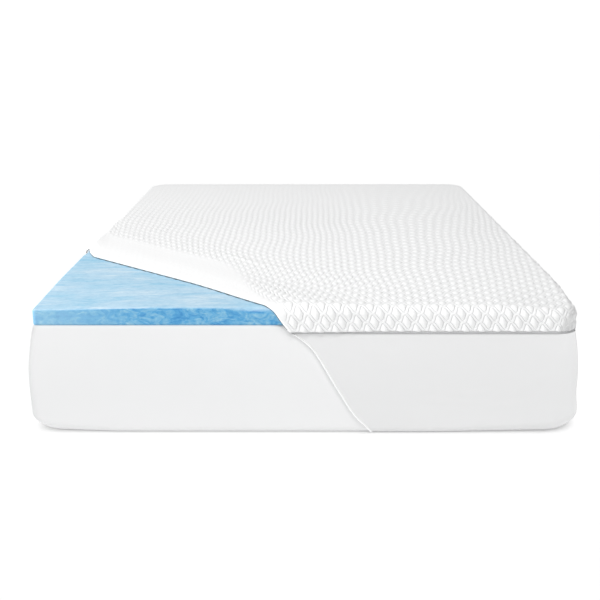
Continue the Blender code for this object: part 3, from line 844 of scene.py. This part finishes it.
def turn_hem(cover, rim):
    """A lip along the hem, so that its edge shows the cloth's thickness."""
    hem = [(a, b) for a, b in rim if not (cover.near(a, NOSE_LEVEL) and cover.near(b, NOSE_LEVEL))]
    ids = np.array(sorted({i for edge in hem for i in edge}))
    none = np.zeros(len(ids))
    cover.put("lip", ids, cover.inside[ids], cover.drawn[ids], none)
    cover.put("under_lip", ids, cover.offset(ids, THICKNESS), cover.drawn[ids], none)
    top, lip, under, under_lip = (cover.at[layer] for layer in ("top", "lip", "under", "under_lip"))
    for a, b in hem:
        cover.faces.append([top[b], top[a], lip[a], lip[b]])
        if cover.under((a, b)):
            cover.faces.append([under[a], under[b], under_lip[b], under_lip[a]])


lay_under(cover, [face for face in base_faces if cover.under(face)])
join_nose(cover, rim)
turn_hem(cover, rim)
cover_points = np.array(cover.points)
press_down(cover_points, HEM_HEIGHT, COVER_TOP)
swing_back(cover_points)
draw_in(cover_points)
print("cover:", len(cover_points), "points,", len(cover.faces), "faces")

# %% [markdown]
# The mesh carries the puffs, but its squares are too coarse for the seams, which
# are hardly 5 mm wide.  The same repeat therefore goes into the material as a
# relief.  It reads the cloth's own flat coordinates from a UV map, so the seams
# in the material run round the puffs of the mesh.

# %% Knit and stitch the quilted cloth
SEAM_PLACE = 0.3645      # of the seam round a puff, in repeats from its middle
SEAM_HALF = 0.0824
SEAM_MM, KNIT_MM, KNIT_PITCH = 1.2, 0.05, 0.0024


def repeat_nodes(finish, cloth):
    """The same places as repeat_place, with nodes."""
    axes = finish.add("ShaderNodeSeparateXYZ", {0: cloth})
    down = finish.sum("MULTIPLY", axes.outputs["Y"], -0.5 / ROW)
    across = finish.sum("MULTIPLY_ADD", down, (PITCH - 2.0 * LEAN) / PITCH,
                        finish.sum("MULTIPLY", axes.outputs["X"], 1.0 / PITCH))
    turn_x = finish.sum("MULTIPLY", across, 2.0 * math.pi)
    turn_y = finish.sum("MULTIPLY", down, 2.0 * math.pi)
    bend_x = finish.sum("MULTIPLY", finish.sum("SINE", turn_x), finish.sum("COSINE", turn_y))
    bend_y = finish.sum("MULTIPLY", finish.sum("COSINE", turn_x), finish.sum("SINE", turn_y))
    return (finish.sum("MULTIPLY_ADD", bend_x, OGEE, across),
            finish.sum("MULTIPLY_ADD", bend_y, -OGEE, down))


def from_middle(finish, place):
    """Distance from the nearest whole number."""
    part = finish.sum("FRACT", finish.sum("ADD", place, 0.5))
    return finish.sum("ABSOLUTE", finish.sum("SUBTRACT", part, 0.5))


def quilted_knit():
    finish = Finish("quilted_knit", 0.88, sheen=0.2)
    cloth = finish.add("ShaderNodeUVMap", uv_map="cloth").outputs["UV"]
    off_x, off_y = (from_middle(finish, place) for place in repeat_nodes(finish, cloth))
    between = finish.sum("GREATER_THAN", finish.sum("ADD", off_x, off_y), 0.5)
    between = finish.sum("MULTIPLY", between, 0.5)
    off_x, off_y = (finish.sum("ABSOLUTE", finish.sum("SUBTRACT", off, between)) for off in (off_x, off_y))
    from_seam = finish.sum("SUBTRACT", finish.sum("ADD", off_x, off_y), SEAM_PLACE)
    within = finish.sum("DIVIDE", from_seam, SEAM_HALF)
    seam = finish.sum("SUBTRACT", 1.0, finish.sum("MULTIPLY", within, within))
    full = finish.add("ShaderNodeAttribute", attribute_name="fullness").outputs["Fac"]
    seam = finish.sum("MULTIPLY", finish.sum("MAXIMUM", seam, 0.0), full)
    # The seams are coloured a little darker than the puffs: painted shade in their grooves.
    finish.colour(finish.mix(seam, grey(0.87, 0.004), grey(0.83, 0.006)))
    loops = finish.sum("MULTIPLY", knit_height(finish, cloth, KNIT_PITCH), KNIT_MM)
    finish.relief(finish.sum("MULTIPLY_ADD", seam, -SEAM_MM, loops))
    return finish


knit = quilted_knit()
print("quilted knit has", len(knit.nodes), "nodes")

# %% Make the cover
quilted = make_piece("quilted_cover", cover_points, cover.faces, knit, "cover_top")
layer = quilted.data.uv_layers.new(name="cloth")
corner_points = np.zeros(len(quilted.data.loops), dtype=np.int32)
quilted.data.loops.foreach_get("vertex_index", corner_points)
layer.uv.foreach_set("vector", np.array(cover.places)[corner_points].astype(np.float32).ravel())
fullness = quilted.data.attributes.new("fullness", "FLOAT", "POINT")
fullness.data.foreach_set("value", np.array(cover.full, dtype=np.float32))

# %% [markdown]
# ## The piping
# A thin cord in a grey knitted sleeve is sewn in between border and skirt.  It
# follows the hem all round, from the peeled front to the peeled left side, so
# it is a tube along the walk round the bed, with pinched ends.  A much thinner
# tube is a dark thread along the outside of the fold, coloured near black so that it also paints the shadow
# line under the fold.

# %% Sew in the piping
PIPING_RADIUS, PIPING_OUT, PIPING_CORNERS_OUT = 0.0028, 0.0045, 0.004
PIPING_HEIGHT = HEM_HEIGHT - 0.0003 - PIPING_RADIUS
PIPING_SIDES, PIPING_STEPS = 12, (150, 330, 260, 220)
PIPING_START_X, LEFT_EDGE_Y = -0.0426, -0.339


def walk_round(half_x, half_y, corners, front_x, left_y, steps):
    """Open line from a place on the front, round right and back, to a place on the left."""
    spots, ways = [], []
    for side, count in zip((FRONT, RIGHT, BACK, LEFT), steps):
        half = half_x if side % 2 == 0 else half_y
        start = front_x if side == FRONT else -corner_middle(half, corners[side])
        end = -left_y if side == LEFT else corner_middle(half, corners[(side + 1) % 4])
        along = np.linspace(start, end, count + 1)
        spot, facing = walk_side(side, along if side == LEFT else along[:-1], half_x, half_y, corners)
        spots.append(spot)
        ways.append(facing)
    return np.concatenate(spots), np.concatenate(ways)


def tube_faces(count, sides):
    """Faces of a tube with closed ends, around count rings of points."""
    faces = []
    for k in range(count - 1):
        for s in range(sides):
            t = (s + 1) % sides
            faces.append([k * sides + s, (k + 1) * sides + s, (k + 1) * sides + t, k * sides + t])
    faces.append(list(range(sides)))
    faces.append([(count - 1) * sides + s for s in reversed(range(sides))])
    return faces


def piping_tube():
    spots, facing = walk_round(HALF_WIDTH + PIPING_OUT, HALF_LENGTH + PIPING_OUT,
                               COVER_CORNERS + PIPING_CORNERS_OUT, PIPING_START_X, LEFT_EDGE_Y,
                               PIPING_STEPS)
    print("piping:", round(np.linalg.norm(np.diff(spots, axis=0), axis=1).sum(), 3), "m long")
    count = len(spots)
    radius = np.full(count, PIPING_RADIUS)
    radius[[0, -1]] *= 0.45
    radius[[1, -2]] *= 0.9
    angles = np.arange(PIPING_SIDES) * 2.0 * math.pi / PIPING_SIDES
    points = np.zeros((count, PIPING_SIDES, 3))
    points[..., :2] = spots[:, None] + facing[:, None] * (radius[:, None] * np.cos(angles))[..., None]
    points[..., 2] = PIPING_HEIGHT + radius[:, None] * np.sin(angles)
    draw_in(points)
    return points.reshape(-1, 3), tube_faces(count, PIPING_SIDES)


cord_points, cord_faces = piping_tube()

# %% Run the thread along the fold
THREAD_RADIUS, THREAD_SIDES = 0.0010, 8
THREAD_START = 0.004                # it starts this far over the hem
THREAD_TURN = (-30.0, 15.0, 105.0)  # degrees round the nose: on top, and more in front and on the left
THREAD_HOOK = 0.0006                # thicker by this much where it hooks round the left end


def fold_thread():
    """A dark thread along the outside of the fold, thicker where the seams pull it; its near-black colour
    also paints the shadow line under the fold.
    """
    ids = np.array(sorted(cover.nose, key=lambda i: cover.base[i, :2] @ ALONG_FOLD))
    ids = ids[cover.base[ids, 2] > HEM_HEIGHT + THREAD_START]
    normal, out = cover.normal[ids], cover.out[ids]
    beside, left = 1.0 - normal[:, 2], cover.base[ids, 0] < -0.5
    turn = np.radians(THREAD_TURN[0] + np.where(left, THREAD_TURN[2], THREAD_TURN[1]) * beside)
    way = normal * np.sin(turn)[:, None] + out * np.cos(turn)[:, None]
    middle = cover.offset(ids, FOLD_RADIUS) + way * (FOLD_RADIUS + SCALLOP + THREAD_RADIUS)
    swing_back(middle)
    ahead = np.gradient(middle, axis=0)
    ahead /= np.linalg.norm(ahead, axis=1)[:, None]
    up = np.cross(ahead, way)
    up /= np.linalg.norm(up, axis=1)[:, None]
    side = np.cross(up, ahead)
    along = cover.base[ids, :2] @ ALONG_FOLD
    radius = THREAD_RADIUS * (0.75 + 0.25 * np.cos(2.0 * math.pi * along / SCALLOP_PITCH))
    radius = radius + THREAD_HOOK * beside * left
    angles = np.arange(THREAD_SIDES) * 2.0 * math.pi / THREAD_SIDES
    around = side[:, None] * np.cos(angles)[:, None] + up[:, None] * np.sin(angles)[:, None]
    points = middle[:, None] + around * radius[:, None, None]
    print("thread:", round(np.linalg.norm(np.diff(middle, axis=0), axis=1).sum(), 3), "m long")
    return points.reshape(-1, 3), [face[::-1] for face in tube_faces(len(ids), THREAD_SIDES)]


thread_points, thread_faces = fold_thread()


# %% Dye the sleeve and make the piping
def grey_sleeve():
    finish = Finish("grey_sleeve", 0.6)
    axes = finish.add("ShaderNodeSeparateXYZ", {0: finish.place()})
    run = finish.sum("ADD", finish.sum("ADD", axes.outputs["X"], axes.outputs["Y"]), axes.outputs["Z"])
    twill = finish.sum("SINE", finish.sum("MULTIPLY", run, 2.0 * math.pi / TWILL_PITCH))
    sleeve = finish.mix(finish.noise(finish.place(), 35.0, 3.0), grey(0.44, 0.02), grey(0.54, 0.02))
    thread_and_shadow = finish.add("ShaderNodeAttribute", attribute_name="thread_and_shadow").outputs["Fac"]
    # The thread is coloured near black: a dark thread, and a painted shadow line along the fold.
    finish.colour(finish.mix(thread_and_shadow, sleeve, grey(0.08, 0.02)))
    finish.relief(finish.sum("MULTIPLY", twill, TWILL_MM))
    return finish


TWILL_PITCH, TWILL_MM = 0.0018, 0.12
cord_faces += [[i + len(cord_points) for i in face] for face in thread_faces]
piping = make_piece("piping_cord", np.concatenate([cord_points, thread_points]), cord_faces,
                    grey_sleeve(), "piping")
thread_and_shadow_share = np.repeat([0.0, 1.0], [len(cord_points), len(thread_points)])
piping.data.attributes.new("thread_and_shadow", "FLOAT", "POINT").data.foreach_set("value", thread_and_shadow_share)

# %% [markdown]
# ## The stretch skirt
# The skirt is one strip of thin jersey that hangs from the piping, hugs the
# mattress and is tucked under it.  Its free edges, in front and on the left,
# lean away from the peeled corner in a long curve and end in a narrow rolled
# hem.  It is a sheet laid on the mattress's own profile, a hair proud of it,
# with the roll and a few faint drag lines as heights over that profile.

# %% Cut the skirt's free edge
SKIRT_CLEAR, SKIRT_THICKNESS = 0.0006, 0.0016
FLOOR_CLEAR = 0.0006
SKIRT_HIGH = PIPING_HEIGHT - PIPING_RADIUS - 0.0003
TUCK_ANGLE = -0.3 * math.pi
EDGE_HEIGHTS = (0.000, 0.052, 0.113, 0.204, 0.244, 0.269, 0.294)
EDGE_PLACES = (0.184, 0.132, 0.093, 0.040, 0.014, -0.013, -0.050)
HEM_ROLL = 0.0040                       # the roll stands this far over the jersey
HEM_HALF = 0.0031                       # half the roll's width
HEM_STEPS = np.array([0.0, 0.0003, 0.0010, 0.0020, HEM_HALF, 0.0042, 0.0052, 0.0060, 0.0080])


def free_edge(z):
    """Sideways place of the free edge at this height, a smooth curve."""
    k = max(i for i in range(len(EDGE_HEIGHTS) - 1) if EDGE_HEIGHTS[i] <= z)
    z0, z1, x0, x1 = EDGE_HEIGHTS[k], EDGE_HEIGHTS[k + 1], EDGE_PLACES[k], EDGE_PLACES[k + 1]
    before, after = max(k - 1, 0), min(k + 2, len(EDGE_HEIGHTS) - 1)
    t = (z - z0) / (z1 - z0)
    m0 = (x1 - EDGE_PLACES[before]) / (z1 - EDGE_HEIGHTS[before]) * (z1 - z0)
    m1 = (EDGE_PLACES[after] - x0) / (EDGE_HEIGHTS[after] - z0) * (z1 - z0)
    return ((2 * t ** 3 - 3 * t ** 2 + 1) * x0 + (t ** 3 - 2 * t ** 2 + t) * m0
            + (3 * t ** 2 - 2 * t ** 3) * x1 + (t ** 3 - t ** 2) * m1)


def hem_roll(across):
    """Height of the rolled hem over the mattress at a distance from its edge."""
    roll = np.sqrt(np.clip(1.0 - ((across - HEM_HALF) / HEM_HALF) ** 2, 0.0, 1.0))
    settled = smooth((across - 0.003) / 0.004) * (SKIRT_CLEAR + SKIRT_THICKNESS)
    return np.maximum(SKIRT_CLEAR + (HEM_ROLL + SKIRT_THICKNESS) * roll, settled)


print("the free edge leans from x =", EDGE_PLACES[-1], "to", round(free_edge(0.0), 3))


# %% Pull a few drag lines
def drag_lines(spots, z):
    """Faint folds in the jersey of the skirt, low ridges placed one by one."""
    x, y = spots[:, 0], spots[:, 1]
    height = np.zeros(len(x))
    for middle_x, middle_z, length, width, lean, rise in DRAGS:
        across = (z - middle_z - lean * (x - middle_x)) / width
        height += rise * np.exp(-across ** 2 - ((x - middle_x) / length) ** 2) * (y < 0.0)
    return height


DRAGS = (
    # middle x, height, length, width, lean, rise
    (0.36, 0.098, 0.085, 0.0070, -0.06, 0.0010),
    (0.47, 0.122, 0.070, 0.0060, 0.10, 0.0008),
    (0.30, 0.128, 0.060, 0.0050, 0.05, 0.0006),
    (0.55, 0.084, 0.060, 0.0080, 0.16, 0.0009),
    (0.62, 0.150, 0.050, 0.0120, 0.55, 0.0010),
    (0.20, 0.235, 0.050, 0.0080, -0.35, 0.0007),
)
print(len(DRAGS), "drag lines")

# %% Drape the skirt
SKIRT_STEPS = (120, 210, 150, 140)            # along the front, right, back and left
SKIRT_LEVELS = np.append(np.linspace(0.041, 0.280, 33), SKIRT_HIGH)


def skirt_row(out, z, slope):
    """Points of one row: the place on the mattress's profile, raised along its slope."""
    corners = side_corners(out, z)
    half_x, half_y = HALF_WIDTH + out, HALF_LENGTH + out
    front = free_edge(z)
    left = LEFT_EDGE_Y + front - free_edge(PIPING_HEIGHT)
    wide = HEM_STEPS[-1]
    spots, facing = walk_round(half_x, half_y, corners, front + wide, left + wide, SKIRT_STEPS)
    hem_front = walk_side(FRONT, front + HEM_STEPS[:-1], half_x, half_y, corners)
    hem_left = walk_side(LEFT, -(left + HEM_STEPS[:-1][::-1]), half_x, half_y, corners)
    spots = np.concatenate([hem_front[0], spots, hem_left[0]])
    facing = np.concatenate([hem_front[1], facing, hem_left[1]])
    height = np.full(len(spots), SKIRT_CLEAR + SKIRT_THICKNESS)
    hem = len(HEM_STEPS)
    height[:hem] = hem_roll(HEM_STEPS)
    height[-hem:] = hem_roll(HEM_STEPS[::-1])
    height[hem:-hem] += drag_lines(spots, z)[hem:-hem]
    level = np.maximum(z + height * slope[1], FLOOR_CLEAR)        # the floor presses the roll flat
    return np.column_stack([spots + facing * (height * slope[0])[:, None], level])


def skirt_rows(fillet):
    pairs = np.array(side_profile(fillet, SKIRT_LEVELS, TUCK_ANGLE))
    run, rise = np.gradient(pairs[:, 0]), np.gradient(pairs[:, 1])
    length = np.hypot(run, rise)
    slopes = np.column_stack([rise / length, -run / length])
    slopes[-1] = (1.0, 0.0)
    return np.array([skirt_row(out, z, slope) for (out, z), slope in zip(pairs, slopes)])


def skirt_sheet():
    rows, softened = skirt_rows(BOTTOM_FILLET), skirt_rows(SOFT_FILLET)
    rows = soften(rows, softened)
    draw_in(rows)
    count, columns = rows.shape[:2]
    i, j = np.indices((count - 1, columns - 1))
    first = (i * columns + j).ravel()
    faces = np.stack([first, first + 1, first + columns + 1, first + columns], 1).tolist()
    return rows.reshape(-1, 3), faces


skirt_points, skirt_faces = skirt_sheet()
print("skirt: lowest point", round(skirt_points[:, 2].min(), 4), "m over the floor")

# %% Make the skirt and whiten its rolled hem, as doubled cloth and a painted highlight
jersey = plain_knit("skirt_jersey", 0.790, 0.006, 0.8, 0.06)
hem = jersey.add("ShaderNodeAttribute", attribute_name="hem").outputs["Fac"]
plain_shade = jersey.shader.inputs["Base Color"].links[0].from_socket
# The rolled hem is whiter: its doubled jersey is whiter, and the lighter colour is also a painted highlight
# along the roll.
jersey.colour(jersey.mix(hem, plain_shade, grey(0.93, 0.004)))
skirt = make_piece("stretch_skirt", skirt_points, skirt_faces, jersey, "skirt")
columns = sum(SKIRT_STEPS) + 1 + 2 * (len(HEM_STEPS) - 1)
from_edge = np.minimum(np.arange(columns), np.arange(columns)[::-1])
hem_highlight_share = np.tile((from_edge < len(HEM_STEPS) - 2).astype(float), len(skirt.data.vertices) // columns)
skirt.data.attributes.new("hem", "FLOAT", "POINT").data.foreach_set("value", hem_highlight_share)

# %% [markdown]
# ## Floor and light
# The picture is shot in a white cove: a floor that curves up into a wall all
# round.  A little glow of its own washes out the shadows, and near the bed an
# occlusion mask dims that glow, which paints the thin shadow where the bed touches it.

# %% Build the cove
COVE_RADIUS, COVE_CURVE, COVE_SIDES = 26.0, 6.0, 96
COVE_GLOW, COVE_SHADE = 0.53, 0.90
# Near the bed the floor's glow is dimmed: a painted contact shadow.
CONTACT, CONTACT_SHADOW_GLOW = 0.05, 0.22     # the glow fades this near the bed, to this share
COVE_SUNK = 0.0004


def cove_mesh():
    """A round floor with an upturned rim."""
    turned = np.linspace(0.0, math.pi / 2, 9)
    line = [(COVE_RADIUS + COVE_CURVE * math.sin(a), COVE_CURVE * (1.0 - math.cos(a))) for a in turned]
    points = [(reach * math.cos(t), reach * math.sin(t), height) for reach, height in line
              for t in np.arange(COVE_SIDES) * 2.0 * math.pi / COVE_SIDES]
    faces = [tuple(range(COVE_SIDES))]
    for k in range(len(line) - 1):
        for s in range(COVE_SIDES):
            t = (s + 1) % COVE_SIDES
            faces.append((k * COVE_SIDES + s, k * COVE_SIDES + t,
                          (k + 1) * COVE_SIDES + t, (k + 1) * COVE_SIDES + s))
    mesh = bpy.data.meshes.new("floor")
    mesh.from_pydata(points, [], faces)
    return mesh


sweep = Finish("white_sweep", 0.9)
sweep.colour(grey(COVE_SHADE))
sweep.shader.inputs["Emission Color"].default_value = (1.0, 1.0, 1.0, 1.0)
# Ambient occlusion dims the floor's glow near the bed, which paints the contact shadow.
open_sky = sweep.add("ShaderNodeAmbientOcclusion", {"Distance": CONTACT}, samples=8).outputs["AO"]
glow = sweep.ease(open_sky, 0.0, 0.8, CONTACT_SHADOW_GLOW * COVE_GLOW, COVE_GLOW)
sweep.join(sweep.shader.inputs["Emission Strength"], glow)
floor = bpy.data.objects.new("floor", cove_mesh())
floor.data.materials.append(sweep.material)
floor.location.z = -COVE_SUNK
bpy.context.scene.collection.objects.link(floor)
print("cove:", len(floor.data.polygons), "faces")

# %% [markdown]
# One broad soft light high on the left models the puffs and the foam.  The
# plain sides would burn out in it, so they have a light of their own over the
# front, and the skirt a weak one from the right.  Light linking keeps each
# light on its own pieces, and the even light of the cove fills in the rest.

# %% Light the studio
ROOM_BRIGHTNESS = 0.52


def soft_box(name, place, target, size, power):
    light = bpy.data.lights.new(name, "AREA")
    light.shape = "SQUARE"
    light.size = size
    light.energy = power
    box = bpy.data.objects.new(name, light)
    box.location = place
    direction = np.array(target) - np.array(place)
    flat = math.hypot(direction[0], direction[1])
    heading = math.atan2(direction[1], direction[0])
    box.rotation_euler = (math.atan2(flat, -direction[2]), 0.0, heading - math.pi / 2)
    bpy.context.scene.collection.objects.link(box)
    return box


def light_only(box, pieces):
    """Keep a light for some pieces, like a flag in front of a lamp."""
    lit = bpy.data.collections.new(box.name + "_pieces")
    for piece in pieces:
        lit.objects.link(piece)
    box.light_linking.receiver_collection = lit


world = bpy.data.worlds.new("bright_room")
world.use_nodes = True
background = world.node_tree.nodes["Background"]
background.inputs["Color"].default_value = (1.0, 1.0, 1.0, 1.0)
background.inputs["Strength"].default_value = ROOM_BRIGHTNESS
bpy.context.scene.world = world
bpy.context.scene.view_settings.view_transform = "Standard"
key = soft_box("key_light", (-6.0, -3.0, 5.2), (0.25, -1.2, 0.3), 3.0, 155.0)
key.data.spread = math.radians(88.0)
light_only(key, (quilted, foam, piping))
fill = soft_box("front_fill", (0.0, -3.2, 5.8), (0.0, -1.0, 0.2), 2.5, 178.0)
light_only(fill, (mattress, skirt))
side = soft_box("side_fill", (6.5, -1.6, 1.2), (0.7, -0.8, 0.2), 2.5, 32.0)
light_only(side, (skirt, piping))
print("lights:", key.name, fill.name, side.name)
